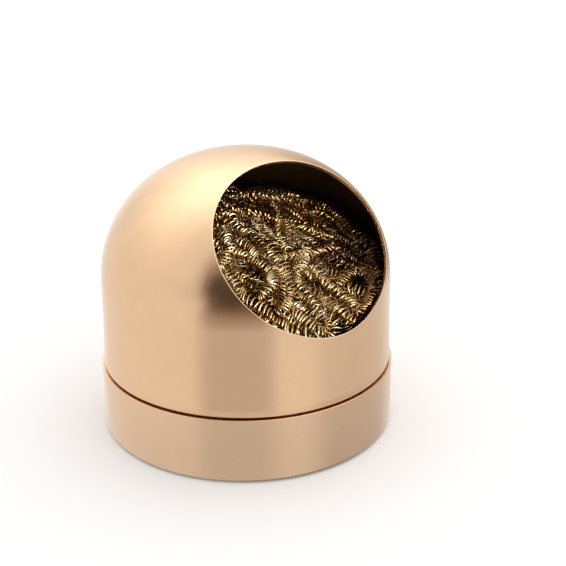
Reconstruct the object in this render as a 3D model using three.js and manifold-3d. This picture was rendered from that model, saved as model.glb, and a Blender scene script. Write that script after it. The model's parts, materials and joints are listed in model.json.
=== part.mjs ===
// Domed soldering-iron tip cleaner: a spun aluminium dome with a slanted mouth, standing on a weighted
// aluminium base, filled with a nest of curled brass turnings. Millimetres, +Z up, the mouth faces -Y,
// and the origin is the centre of the underside.
import * as THREE from "three";
import { mergeVertices } from "three/addons/utils/BufferGeometryUtils.js";
import Module from "manifold-3d";

// ---------------------------------------------------------------- driving dimensions
const SEGMENTS = 48; // facets round the large turned pieces
const SCREW_SEGMENTS = 16; // facets round the screws and their holes
const FIT_GAP = 0.3; // radial gap round the ballast and round the pad
const OVERCUT = 1; // how far a cutter runs past the face it opens

// base
const BASE_R = 35.0; // outside radius of the base, the widest part
const BASE_BOTTOM_Z = 0.5; // the metal stands off the bench on the rubber pad
const BASE_CHAMFER = 0.3; // round the lower edge
const SHOULDER_Z = 15.7; // top of the base's outer rim
const SHOULDER_CHAMFER = 0.15;
const LAND_R = 33.75; // raised land under the dome's edge
const LAND_Z = 15.95;
const SPIGOT_R = 33.2; // collar inside the dome
const SPIGOT_TOP_Z = 24.2;
const SPIGOT_CHAMFER = 0.6;
const CUP_R = 30.8; // inside of the collar
const CUP_CHAMFER = 0.4;
const CUP_FLOOR_Z = 13.0;
const GROOVE_R = 32.1; // groove for the grip ring
const GROOVE_Z = 20.1;
const GROOVE_HALF = 0.8;
const POCKET_R = 29.2; // pocket under the floor for the ballast
const POCKET_TOP_Z = 8.6;
const PAD_RECESS_R = 33.3;
const PAD_RECESS_Z = 1.3;

// dome
const WALL = 0.9;
const DOME_BOTTOM_Z = 16.0;
const CROWN_START_Z = 36.3; // above this the wall curves over
const CROWN_R = 34.13; // radius where the crown starts
const CROWN_H = 29.85;
const CROWN_TOP_Z = CROWN_START_Z + CROWN_H;
const CROWN_POWER_R = 2.13; // the crown is slightly fuller than an ellipse
const CROWN_POWER_Z = 2.02;
const CROWN_ANGLES = [9, 18, 27, 36, 45, 54, 62, 70, 77, 84]; // degrees, stations up the crown
const SKIRT_R = 34.5; // radius just above the rolled lower edge
const SKIRT_Z = 17.6;
const SKIRT_MID_Z = 26; // station halfway up the skirt
const FOOT_INSET = 0.7; // the rolled edge draws in by this at the very bottom
const ROLL_INSET = 0.28; // and by this at the middle of the roll
const ROLL_RISE = 0.42;

// mouth: its outline lies in a slanted plane, and the wall is bored through at right angles to that plane
const MOUTH_NORMAL_ELEVATION = 37.6; // degrees above the horizontal, facing -Y
const MOUTH_CENTRE = [0, -19.52, 51.38];
const MOUTH_BORE_DEPTH = 2.4; // below the plane, enough to go through the wall all round
const MOUTH_EDGE = 0.1; // narrow flat left round the outside of the bore
const MOUTH_SEGMENTS = 64;
const MOUTH_SEARCH = [5, 45]; // radii that bracket the outline
const MOUTH_SEARCH_STEPS = 40;
const HALF_SPACE_SIZE = 240; // side of the box that cuts away all beyond the mouth plane

// grip ring
const RING_SECTION_R = 0.65;
const RING_R = 32.8;
const RING_SIDES = 6;

// pad
const PAD_R = PAD_RECESS_R - FIT_GAP;
const PAD_T = 1.22;
const PAD_CHAMFER = 0.5;

// ballast
const BALLAST_R = POCKET_R - FIT_GAP;
const BALLAST_BOTTOM_Z = 1.36;
const BALLAST_TOP_Z = 8.45;
const BALLAST_CHAMFER = 0.4;

// screws and their holes
const SCREW_CIRCLE_R = 18;
const SCREW_ANGLES = [90, 210, 330]; // degrees from +X
const SCREW_R = 1.4;
const SCREW_TOP_Z = 11.6;
const SCREW_TIP_CHAMFER = 0.4;
const HEAD_R = 2.75;
const HEAD_BOTTOM_Z = 1.5;
const HEAD_TOP_Z = 3.2;
const HEAD_RIM = 0.3; // straight part below the cone
const SOCKET_R = 1.15; // across the corners
const SOCKET_DEPTH = 1.1;
const SCREW_HOLE_R = SCREW_R + 0.2;
const SCREW_HOLE_TOP_Z = SCREW_TOP_Z + 0.5;
const SINK_GAP = 0.35; // countersink larger and higher than the head
const SINK_HOLE_R = SCREW_HOLE_R + 0.1;
const SINK_OVERCUT = 0.5;

// brass wool: each turning is a long curl, wound to and fro in layers
const CURL_R = 2.0; // radius of the solid that stands for one curl
const CURL_SIDES = 5;
const CURL_GAP = 0.55; // kept between a curl and the dome
const COLLAR_GAP = { side: 0.4, above: 0.5 }; // kept between a curl and the collar
const STEP = 5.6; // length of a straight stretch
const WAVE = 1.1; // sideways sway of a row
const WAVE_RATE = 0.17; // radians of sway per millimetre of row
const TURN_ANGLES = [36, 72, 108, 144]; // degrees, stations round a half turn
const REACH_LIMIT = 33; // farthest place tried along a row
const SEARCH_STEP = 0.25;
const SEARCH_SPAN = 3; // heights looked at above and below a curl's centre

// centre height of the top layer: it slopes down to the mouth and crowns in the middle
const HEAP_FRONT_Y = -28;
const HEAP = {
  frontZ: 32.0, // height at HEAP_FRONT_Y, before the crown
  slope: 0.25, // rise towards +Y
  crown: 2.2, // extra height on the axis
  crownR: 30, // radius where the extra height is nil
  sideSlope: 0.03, // rise towards +X
};

// One entry per layer, top first. along: direction of the rows. depth: below the top layer.
// pitch: between neighbouring rows. phase: of the sway. from: lower limit along the rows.
// curls: [place of the first row, number of rows] for each curl.
const WOUND_LAYERS = [
  { along: "y", depth: 0, pitch: 5, phase: 0.4, curls: [[-25, 3], [-10, 3], [5, 2], [15, 3]] },
  { along: "x", depth: 4.6, pitch: 5.3, phase: 1.2, curls: [[-24, 3], [-8.1, 4], [13.1, 3]] },
  { along: "y", depth: 9.2, pitch: 5.4, phase: 2.3, from: -12, curls: [[-21.6, 4], [0, 5]] },
  { along: "x", depth: 13.6, pitch: 5.3, phase: 0.7, curls: [[15.4, 3]] },
];

// flat coils in the cup; start is in radians, slope is the rise towards +Y from HEAP_FRONT_Y
const COILS = [
  { frontZ: 21.5, slope: 0.075, start: 2.1 },
  { frontZ: 16.2, slope: 0, start: 5.0 },
];
const COIL_OUTER_R = 28.2;
const COIL_INNER_R = 4;
const COIL_PITCH = 6.0;
const COIL_STEP = 6.6; // length between stations
const COIL_MAX_ANGLE = 0.62; // radians between stations at most

// ---------------------------------------------------------------- helpers
const wasm = await Module();
wasm.setup();

const { degToRad } = THREE.MathUtils;

function toSolid(geometry) {
  const bare = geometry.clone();
  bare.deleteAttribute("normal");
  bare.deleteAttribute("uv");
  const merged = mergeVertices(bare, 1e-4);
  return new wasm.Manifold(
    new wasm.Mesh({
      numProp: 3,
      vertProperties: merged.attributes.position.array,
      triVerts: new Uint32Array(merged.index.array),
    }),
  );
}

// Flat-shaded geometry of a solid.
function toGeometry(solid) {
  const { vertProperties, triVerts } = solid.getMesh();
  const indexed = new THREE.BufferGeometry();
  indexed.setAttribute("position", new THREE.BufferAttribute(vertProperties, 3));
  indexed.setIndex(new THREE.BufferAttribute(triVerts, 1));
  const flat = indexed.toNonIndexed();
  flat.computeVertexNormals();
  return flat;
}

// A solid of revolution about Z from [radius, height] points that run anticlockwise in the r-z half plane.
function turned(points, segments = SEGMENTS) {
  const profile = points.map(([radius, z]) => new THREE.Vector2(radius, z));
  return new THREE.LatheGeometry(profile, segments).rotateX(Math.PI / 2);
}

function cylinder(radius, bottomZ, topZ, segments) {
  return new THREE.CylinderGeometry(radius, radius, topZ - bottomZ, segments)
    .rotateX(Math.PI / 2)
    .translate(0, 0, (bottomZ + topZ) / 2);
}

// A closed outline with corners at equal angles; radiusAt gives the radius at an angle.
function polarShape(corners, radiusAt) {
  const points = Array.from({ length: corners }, (_, i) => {
    const angle = (i / corners) * 2 * Math.PI;
    const radius = radiusAt(angle);
    return new THREE.Vector2(radius * Math.cos(angle), radius * Math.sin(angle));
  });
  const shape = new THREE.Shape(points);
  shape.closePath();
  return shape;
}

const FINISHES = {
  anodised: { rgb: [0.9, 0.72, 0.58], roughness: 0.3, metalness: 1 },
  rubber: { rgb: [0.05, 0.05, 0.05], roughness: 0.9, metalness: 0 },
  steel: { rgb: [0.55, 0.55, 0.56], roughness: 0.4, metalness: 1 },
  brass: { rgb: [0.72, 0.55, 0.22], roughness: 0.3, metalness: 1 },
};

const part = new THREE.Group();

function add(name, geometry, finish) {
  const { rgb, roughness, metalness } = FINISHES[finish];
  const color = new THREE.Color(...rgb);
  const material = new THREE.MeshStandardMaterial({ color, roughness, metalness });
  const mesh = new THREE.Mesh(geometry, material);
  mesh.name = name;
  part.add(mesh);
}

// ---------------------------------------------------------------- dome
// Outside radius of the dome at a height.
function domeRadius(z) {
  if (z >= CROWN_START_Z) {
    const rise = Math.min(1, (z - CROWN_START_Z) / CROWN_H);
    const angle = Math.asin(Math.pow(rise, CROWN_POWER_Z / 2));
    return CROWN_R * Math.pow(Math.max(0, Math.cos(angle)), 2 / CROWN_POWER_R);
  }
  // the skirt flares very slightly towards its foot
  const drop = Math.min(1, (CROWN_START_Z - z) / (CROWN_START_Z - SKIRT_Z));
  return CROWN_R + (SKIRT_R - CROWN_R) * drop * drop;
}

// The dome's profile above its foot, set in from the outside by a thickness.
function upperProfile(inset) {
  const radius = CROWN_R - inset;
  const height = CROWN_H - inset;
  const crown = CROWN_ANGLES.map((degrees) => {
    const angle = degToRad(degrees);
    return [
      radius * Math.pow(Math.cos(angle), 2 / CROWN_POWER_R),
      CROWN_START_Z + height * Math.pow(Math.sin(angle), 2 / CROWN_POWER_Z),
    ];
  });
  return [
    [SKIRT_R - inset, SKIRT_Z],
    [domeRadius(SKIRT_MID_Z) - inset, SKIRT_MID_Z],
    [radius, CROWN_START_Z],
    ...crown,
    [0, CROWN_START_Z + height],
  ];
}

const mouthTilt = degToRad(90 - MOUTH_NORMAL_ELEVATION);

// Moves a geometry from the XY plane to the mouth plane, its +Z pointing out of the mouth.
const placeAtMouth = (geometry) => geometry.rotateX(mouthTilt).translate(...MOUTH_CENTRE);

// Distance from the mouth's centre to the outside of the dome, in the mouth plane, by bisection.
function mouthOutlineRadius(angle) {
  const [, centreY, centreZ] = MOUTH_CENTRE;
  let [inner, outer] = MOUTH_SEARCH;
  for (let i = 0; i < MOUTH_SEARCH_STEPS; i++) {
    const radius = (inner + outer) / 2;
    const x = radius * Math.cos(angle);
    const y = centreY + radius * Math.sin(angle) * Math.cos(mouthTilt);
    const z = centreZ + radius * Math.sin(angle) * Math.sin(mouthTilt);
    if (z < CROWN_TOP_Z && Math.hypot(x, y) < domeRadius(z)) inner = radius;
    else outer = radius;
  }
  return inner;
}

function mouthHalfSpace() {
  const box = new THREE.BoxGeometry(HALF_SPACE_SIZE, HALF_SPACE_SIZE, HALF_SPACE_SIZE);
  return placeAtMouth(box.translate(0, 0, HALF_SPACE_SIZE / 2));
}

function mouthBore() {
  const outline = polarShape(MOUTH_SEGMENTS, (angle) => mouthOutlineRadius(angle) - MOUTH_EDGE);
  const prism = new THREE.ExtrudeGeometry(outline, {
    depth: MOUTH_BORE_DEPTH + OVERCUT,
    bevelEnabled: false,
  });
  return placeAtMouth(prism.translate(0, 0, -MOUTH_BORE_DEPTH));
}

function domeShell() {
  const shell = turned([
    ...upperProfile(WALL).reverse(),
    [SKIRT_R - WALL, DOME_BOTTOM_Z],
    [SKIRT_R - FOOT_INSET, DOME_BOTTOM_Z],
    [SKIRT_R - ROLL_INSET, DOME_BOTTOM_Z + ROLL_RISE],
    ...upperProfile(0),
  ]);
  return toGeometry(
    toSolid(shell).subtract(toSolid(mouthHalfSpace())).subtract(toSolid(mouthBore())),
  );
}

// ---------------------------------------------------------------- base
const screwSpots = SCREW_ANGLES.map((degrees) => {
  const angle = degToRad(degrees);
  return [SCREW_CIRCLE_R * Math.cos(angle), SCREW_CIRCLE_R * Math.sin(angle)];
});

// Turned body with the same cutter, made on the axis, taken out at each screw.
function cutAtScrews(body, cutter) {
  return toGeometry(
    screwSpots.reduce(
      (solid, [x, y]) => solid.subtract(toSolid(cutter.clone().translate(x, y, 0))),
      toSolid(body),
    ),
  );
}

// cup above, ballast pocket and pad recess below, with blind screw holes in the floor between
function baseCup() {
  const body = turned([
    [0, POCKET_TOP_Z],
    [POCKET_R, POCKET_TOP_Z],
    [POCKET_R, PAD_RECESS_Z],
    [PAD_RECESS_R, PAD_RECESS_Z],
    [PAD_RECESS_R, BASE_BOTTOM_Z],
    [BASE_R - BASE_CHAMFER, BASE_BOTTOM_Z],
    [BASE_R, BASE_BOTTOM_Z + BASE_CHAMFER],
    [BASE_R, SHOULDER_Z - SHOULDER_CHAMFER],
    [BASE_R - SHOULDER_CHAMFER, SHOULDER_Z],
    [LAND_R, SHOULDER_Z],
    [LAND_R, LAND_Z],
    [SPIGOT_R, LAND_Z],
    [SPIGOT_R, GROOVE_Z - GROOVE_HALF],
    [GROOVE_R, GROOVE_Z - GROOVE_HALF],
    [GROOVE_R, GROOVE_Z + GROOVE_HALF],
    [SPIGOT_R, GROOVE_Z + GROOVE_HALF],
    [SPIGOT_R, SPIGOT_TOP_Z - SPIGOT_CHAMFER],
    [SPIGOT_R - SPIGOT_CHAMFER, SPIGOT_TOP_Z],
    [CUP_R + CUP_CHAMFER, SPIGOT_TOP_Z],
    [CUP_R, SPIGOT_TOP_Z - CUP_CHAMFER],
    [CUP_R, CUP_FLOOR_Z],
    [0, CUP_FLOOR_Z],
  ]);
  const holeBottomZ = POCKET_TOP_Z - OVERCUT;
  return cutAtScrews(
    body,
    cylinder(SCREW_HOLE_R, holeBottomZ, SCREW_HOLE_TOP_Z, SCREW_SEGMENTS),
  );
}

// rubber ring in the collar's groove: it grips the inside of the dome
function gripRing() {
  const ring = new THREE.TorusGeometry(RING_R, RING_SECTION_R, RING_SIDES, SEGMENTS);
  return ring.translate(0, 0, GROOVE_Z);
}

// steel disc with three holes, countersunk from below
function ballastDisc() {
  const disc = turned([
    [0, BALLAST_BOTTOM_Z],
    [BALLAST_R - BALLAST_CHAMFER, BALLAST_BOTTOM_Z],
    [BALLAST_R, BALLAST_BOTTOM_Z + BALLAST_CHAMFER],
    [BALLAST_R, BALLAST_TOP_Z],
    [0, BALLAST_TOP_Z],
  ]);
  const sink = turned(
    [
      [0, BALLAST_BOTTOM_Z - SINK_OVERCUT],
      [HEAD_R + SINK_GAP, BALLAST_BOTTOM_Z - SINK_OVERCUT],
      [HEAD_R + SINK_GAP, HEAD_BOTTOM_Z + SINK_GAP],
      [SINK_HOLE_R, HEAD_TOP_Z + SINK_GAP],
      [SINK_HOLE_R, BALLAST_TOP_Z + SINK_OVERCUT],
      [0, BALLAST_TOP_Z + SINK_OVERCUT],
    ],
    SCREW_SEGMENTS,
  );
  return cutAtScrews(disc, sink);
}

// countersunk screw with a hexagon socket, up through the ballast into the floor of the cup
function ballastScrew(x, y) {
  const body = turned(
    [
      [0, HEAD_BOTTOM_Z],
      [HEAD_R, HEAD_BOTTOM_Z],
      [HEAD_R, HEAD_BOTTOM_Z + HEAD_RIM],
      [SCREW_R, HEAD_TOP_Z],
      [SCREW_R, SCREW_TOP_Z - SCREW_TIP_CHAMFER],
      [SCREW_R - SCREW_TIP_CHAMFER, SCREW_TOP_Z],
      [0, SCREW_TOP_Z],
    ],
    SCREW_SEGMENTS,
  );
  const socket = cylinder(SOCKET_R, HEAD_BOTTOM_Z - OVERCUT, HEAD_BOTTOM_Z + SOCKET_DEPTH, 6);
  return toGeometry(toSolid(body).subtract(toSolid(socket))).translate(x, y, 0);
}

// anti-slip pad, let into the underside and standing proud of it
function footPad() {
  return turned([
    [0, 0],
    [PAD_R - PAD_CHAMFER, 0],
    [PAD_R, PAD_CHAMFER],
    [PAD_R, PAD_T],
    [0, PAD_T],
  ]);
}

// ---------------------------------------------------------------- brass wool
// A curve through a list of points, hit at equal steps of its parameter, so that tight turns can have
// closer stations than straight stretches.
class StationCurve extends THREE.CatmullRomCurve3 {
  getUtoTmapping(fraction) {
    return fraction;
  }
}

function curl(points) {
  return new THREE.ExtrudeGeometry(polarShape(CURL_SIDES, () => CURL_R), {
    steps: points.length - 1,
    extrudePath: new StationCurve(points),
    curveSegments: 1,
  });
}

const topLayerZ = (x, y) =>
  HEAP.frontZ +
  HEAP.slope * (y - HEAP_FRONT_Y) +
  HEAP.crown * (1 - (x * x + y * y) / HEAP.crownR ** 2) +
  HEAP.sideSlope * x;

// Greatest distance of a curl's centre from the axis, at a height, clear of the collar and the dome.
function clearRadius(z) {
  const besideCollar = z - CURL_R < SPIGOT_TOP_Z + COLLAR_GAP.above;
  let clear = besideCollar ? CUP_R - CURL_R - COLLAR_GAP.side : Infinity;
  const reach = CURL_R + CURL_GAP;
  for (let level = z - SEARCH_SPAN; level <= z + SEARCH_SPAN; level += SEARCH_STEP) {
    const rise = level - z;
    if (Math.abs(rise) > reach) continue;
    const wallRadius = domeRadius(level) - WALL;
    clear = Math.min(clear, wallRadius - Math.sqrt(reach * reach - rise * rise));
  }
  return clear;
}

// Path of rows wound to and fro. rows: their places across. height(x, y): centre of the layer.
function woundPath({ along, rows, height, phase, from = -Infinity }) {
  const points = [];
  const toXY = (lengthwise, across) =>
    along === "y" ? [across, lengthwise] : [lengthwise, across];
  const addPoint = (lengthwise, across) => {
    const [x, y] = toXY(lengthwise, across);
    points.push(new THREE.Vector3(x, y, height(x, y)));
  };
  const sway = (lengthwise) => WAVE * Math.sin(WAVE_RATE * lengthwise + phase);

  // end of the straight part of a row, clear of the walls, with room for the turn to its neighbour
  const rowEnd = (row, neighbour, sign) => {
    const across = Math.max(Math.abs(row), Math.abs(neighbour)) + WAVE;
    let limit = 0;
    for (let distance = 0; distance < REACH_LIMIT; distance += SEARCH_STEP) {
      const [x, y] = toXY(sign * distance, across);
      if (Math.hypot(x, y) > clearRadius(height(x, y))) break;
      limit = sign * distance;
    }
    return Math.max(limit, from) - (sign * Math.abs(neighbour - row)) / 2;
  };

  rows.forEach((row, i) => {
    const direction = i % 2 === 0 ? 1 : -1;
    const start = rowEnd(row, rows[i - 1] ?? row, -direction);
    const end = rowEnd(row, rows[i + 1] ?? row, direction);
    const stretches = Math.max(2, Math.round(Math.abs(end - start) / STEP));
    for (let k = 0; k <= stretches; k++) {
      const lengthwise = start + ((end - start) * k) / stretches;
      addPoint(lengthwise, row + sway(lengthwise));
    }
    if (i === rows.length - 1) return;

    // half turn to the next row
    const middle = (row + rows[i + 1]) / 2 + sway(end);
    const turnR = (rows[i + 1] - row) / 2;
    for (const degrees of TURN_ANGLES) {
      const angle = degToRad(degrees);
      addPoint(end + direction * turnR * Math.sin(angle), middle - turnR * Math.cos(angle));
    }
  });
  return points;
}

// Path of a flat coil about Z, from the outside in.
function coilPath({ frontZ, slope, start }) {
  const points = [];
  let angle = start;
  let radius = COIL_OUTER_R;
  while (radius > COIL_INNER_R) {
    const y = radius * Math.sin(angle);
    const z = frontZ + slope * (y - HEAP_FRONT_Y);
    points.push(new THREE.Vector3(radius * Math.cos(angle), y, z));
    const turn = Math.min(COIL_MAX_ANGLE, COIL_STEP / radius);
    angle += turn;
    radius -= (COIL_PITCH * turn) / (2 * Math.PI);
  }
  return points;
}

function layerPaths({ along, depth, pitch, phase, from, curls }) {
  const height = (x, y) => topLayerZ(x, y) - depth;
  return curls.map(([first, count]) => {
    const rows = Array.from({ length: count }, (_, i) => first + i * pitch);
    return woundPath({ along, rows, height, phase, from });
  });
}

// ---------------------------------------------------------------- assembly
add("dome_shell", domeShell(), "anodised");
add("base_cup", baseCup(), "anodised");
add("grip_ring", gripRing(), "rubber");
add("ballast_disc", ballastDisc(), "steel");
screwSpots.forEach(([x, y], i) => add(`ballast_screw_${i + 1}`, ballastScrew(x, y), "steel"));
add("foot_pad", footPad(), "rubber");

const woolPaths = [...WOUND_LAYERS.flatMap(layerPaths), ...COILS.map(coilPath)];
woolPaths.forEach((points, i) =>
  add(`wool_curl_${String(i + 1).padStart(2, "0")}`, curl(points), "brass"),
);

export default part;
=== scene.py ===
"""A soldering-tip cleaner: brass wool in a round base cup, under a dome with a tilted mouth.

The axis of the round parts is Z, and the rubber pad stands on z = 0. The mouth opens
towards -Y and upwards. Sizes are in millimetres; MM turns them into metres.
"""
import json
import math

import bpy
import numpy as np
from mathutils import Matrix, Vector

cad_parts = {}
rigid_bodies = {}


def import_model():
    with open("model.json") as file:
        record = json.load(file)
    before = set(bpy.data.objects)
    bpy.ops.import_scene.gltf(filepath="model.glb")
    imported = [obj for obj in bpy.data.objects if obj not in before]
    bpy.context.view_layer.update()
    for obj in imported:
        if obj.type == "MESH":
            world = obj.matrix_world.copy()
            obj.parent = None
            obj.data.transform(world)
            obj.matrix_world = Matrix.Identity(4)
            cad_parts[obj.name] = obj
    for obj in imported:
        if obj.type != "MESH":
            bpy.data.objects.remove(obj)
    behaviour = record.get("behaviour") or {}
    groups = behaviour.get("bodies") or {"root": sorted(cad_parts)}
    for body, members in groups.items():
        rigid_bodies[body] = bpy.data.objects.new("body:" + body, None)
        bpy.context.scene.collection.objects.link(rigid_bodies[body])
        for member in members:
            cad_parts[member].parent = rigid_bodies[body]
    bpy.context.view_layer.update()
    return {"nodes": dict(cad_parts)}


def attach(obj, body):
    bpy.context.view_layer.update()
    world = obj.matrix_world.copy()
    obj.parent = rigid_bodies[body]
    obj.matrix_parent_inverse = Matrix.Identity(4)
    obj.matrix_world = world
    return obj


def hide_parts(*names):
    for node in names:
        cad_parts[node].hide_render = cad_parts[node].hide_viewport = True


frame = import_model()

MM = 0.001
TURN = 2 * math.pi
CAM_AZ = -37.44          # degrees from -Y towards +X; the studio is laid out round it

# =====================================================================================
# sizes
# =====================================================================================
# base, from the outside in: wall, shoulder, raised land, spigot with its groove, cup
BASE_R = 35.0
SHOULDER_Z = 15.7
LAND_R, LAND_Z = 33.75, 15.95
SPIGOT_R, SPIGOT_TOP = 33.2, 24.2
GROOVE_R, GROOVE_Z, GROOVE_HALF = 32.1, 20.1, 0.8
CUP_R, CUP_FLOOR = 30.8, 13.0
# under the base: the bottom of the wall, the pad's seat and the deeper recess
BASE_BOTTOM_Z = 0.5
SEAT_R, SEAT_Z = 33.3, 1.3
RECESS_R, RECESS_Z = 29.2, 8.6
PAD_R, PAD_TOP = 33.0, 1.22
RING_R, RING_SECTION_R = 32.8, 0.65

# dome: a superellipse crown over a skirt that widens towards the foot
WALL = 0.9
FOOT_Z = 16.0
SKIRT_R, SKIRT_Z = 34.5, 17.6
CROWN_Z, CROWN_R, CROWN_H = 36.3, 34.13, 29.85
POWER_R, POWER_Z = 2.13, 2.02
# plane of the mouth's outline: its normal and a point in it
TILT = math.radians(90 - 37.6)
MOUTH_NORMAL = np.array([0.0, -math.sin(TILT), math.cos(TILT)])
MOUTH_POINT = np.array([0.0, -19.52, 51.38])


def wall_r(z, inset):
    """Radius of the dome's wall at a height, for the surface this far inside the outer one."""
    z = np.asarray(z, float)
    rise = np.clip((z - CROWN_Z) / (CROWN_H - inset), 0, 1)
    angle = np.arcsin(rise ** (POWER_Z / 2))
    crown = (CROWN_R - inset) * np.clip(np.cos(angle), 0, 1) ** (2 / POWER_R)
    drop = np.clip((CROWN_Z - z) / (CROWN_Z - SKIRT_Z), 0, 1)
    return np.where(z >= CROWN_Z, crown, CROWN_R - inset + (SKIRT_R - CROWN_R) * drop * drop)


def outer_r(z):
    return wall_r(z, 0.0)


def inner_r(z):
    return wall_r(z, WALL)


# =====================================================================================
# geometry helpers
# =====================================================================================
def around(count):
    """Even angles round a full turn."""
    return np.arange(count) / count * TURN


def axis_distance(points):
    return np.hypot(points[..., 0], points[..., 1])


def unit(vectors):
    return vectors / np.maximum(np.linalg.norm(vectors, axis=-1, keepdims=True), 1e-9)


def square_to(vectors, tangents):
    """The unit part of the vectors at right angles to the tangents."""
    along = np.sum(vectors * tangents, axis=-1, keepdims=True)
    return unit(vectors - tangents * along)


def climb(value, start, width):
    """0 up to the start, then a straight rise to 1 over the width."""
    return np.clip((value - start) / width, 0, 1)


def bezier(start, corner, end, count):
    """A quadratic curve of points, or of whole rows of points."""
    t = np.linspace(0, 1, count).reshape(-1, *[1] * start.ndim)
    return (1 - t) ** 2 * start + 2 * t * (1 - t) * corner + t * t * end


def bisect(test, low, high, steps=40):
    """Where the test turns false, between low (true) and high (false)."""
    for _ in range(steps):
        middle = (low + high) / 2
        passed = test(middle)
        low = np.where(passed, middle, low)
        high = np.where(passed, high, middle)
    return (low + high) / 2


# =====================================================================================
# mesh helpers
# =====================================================================================
def build(name, verts, quads, materials, tris=(), slots=None, attributes=None):
    """A smooth mesh object from arrays, verts in millimetres."""
    mesh = bpy.data.meshes.new(name)
    quads = np.asarray(quads, np.int32).reshape(-1, 4)
    tris = np.asarray(tris, np.int32).reshape(-1, 3)
    mesh.vertices.add(len(verts))
    places = (np.asarray(verts, float) * MM).astype(np.float32)
    mesh.vertices.foreach_set("co", places.ravel())
    mesh.loops.add(quads.size + tris.size)
    mesh.loops.foreach_set("vertex_index", np.concatenate([quads.ravel(), tris.ravel()]))
    mesh.polygons.add(len(quads) + len(tris))
    starts = [np.arange(len(quads)) * 4, quads.size + np.arange(len(tris)) * 3]
    mesh.polygons.foreach_set("loop_start", np.concatenate(starts).astype(np.int32))
    if slots is not None:
        mesh.polygons.foreach_set("material_index", np.asarray(slots, np.int32))
    mesh.polygons.foreach_set("use_smooth", np.full(len(mesh.polygons), True))
    for key, values in (attributes or {}).items():
        add_attribute(mesh, key, values)
    for item in materials:
        mesh.materials.append(item)
    mesh.update(calc_edges=True)
    mesh.validate()
    piece = bpy.data.objects.new(name, mesh)
    bpy.context.scene.collection.objects.link(piece)
    return piece


def add_attribute(mesh, key, values):
    layer = mesh.attributes.new(key, "FLOAT", "POINT")
    layer.data.foreach_set("value", np.asarray(values, np.float32))


def grid_quads(rows, cols, closed_cols=True, closed_rows=False, offset=0):
    row = np.arange(rows if closed_rows else rows - 1)
    col = np.arange(cols if closed_cols else cols - 1)
    row, col = np.meshgrid(row, col, indexing="ij")
    next_row, next_col = (row + 1) % rows, (col + 1) % cols
    corners = [(row, col), (row, next_col), (next_row, next_col), (next_row, col)]
    return np.stack([i * cols + j for i, j in corners], -1).reshape(-1, 4) + offset


def revolve(radii, heights, segments):
    """One ring of points round Z for each radius and height."""
    angle = around(segments)
    return np.stack(
        [
            radii[:, None] * np.cos(angle),
            radii[:, None] * np.sin(angle),
            np.repeat(heights[:, None], segments, 1),
        ],
        -1,
    ).reshape(-1, 3)


def rounded(points, steps):
    """Turns (r, z, fillet) corners into short curves. Gives points and a wear mask.

    The first and last entries are plain (r, z) ends.
    """
    out, mask = [np.array(points[0], float)], [0.0]
    for before, (radius, z, fillet), after in zip(points, points[1:], points[2:]):
        corner = np.array((radius, z), float)
        ends = []
        for neighbour in (before, after):
            side = np.array(neighbour[:2], float) - corner
            length = np.linalg.norm(side)
            ends.append(corner + side / length * min(fillet, length * 0.49))
        out.extend(bezier(ends[0], corner, ends[1], steps))
        mask.extend(1.0 - abs(2 * np.linspace(0, 1, steps) - 1) * 0.8)
    return out + [np.array(points[-1], float)], mask + [0.0]


def subdivide(points, mask, longest):
    """Splits long stretches, and adds a point close to each end to keep the shading flat."""
    close = 0.12
    out, out_mask = [points[0]], [mask[0]]
    for start, end, wear in zip(points, points[1:], mask[1:]):
        length = np.linalg.norm(end - start)
        if length > 0.5:
            count = int(length // longest)
            cuts = [close / length, 1 - close / length]
            cuts += [i / (count + 1) for i in range(1, count + 1)]
            for cut in sorted(cuts):
                out.append(start + (end - start) * cut)
                out_mask.append(0.0)
        out.append(end)
        out_mask.append(wear)
    return out, out_mask


def turned(name, profile, wear, segments, materials, slot_of=None):
    """A turned solid. The profile is anticlockwise in (r, z), with both ends on the axis."""
    profile = np.asarray(profile, float)
    body = profile[1:-1]
    rings = revolve(body[:, 0], body[:, 1], segments)
    ends = [[0, 0, profile[0, 1]], [0, 0, profile[-1, 1]]]
    col = np.arange(segments)
    after = (col + 1) % segments
    last = (len(body) - 1) * segments
    first_fan = np.stack([np.full(segments, len(rings)), after, col], -1)
    last_fan = np.stack([np.full(segments, len(rings) + 1), last + col, last + after], -1)
    slots = None
    if slot_of is not None:
        middles = (body[:-1] + body[1:]) / 2
        per_row = [slot_of(radius, z) for radius, z in middles]
        per_row += [slot_of(0, profile[0, 1]), slot_of(0, profile[-1, 1])]
        slots = np.repeat(per_row, segments)
    mask = np.concatenate([np.repeat(wear[1:-1], segments), [0, 0]])
    return build(
        name, np.vstack([rings, ends]), grid_quads(len(body), segments), materials,
        tris=np.vstack([first_fan, last_fan]), slots=slots, attributes={"wear": mask},
    )


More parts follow.
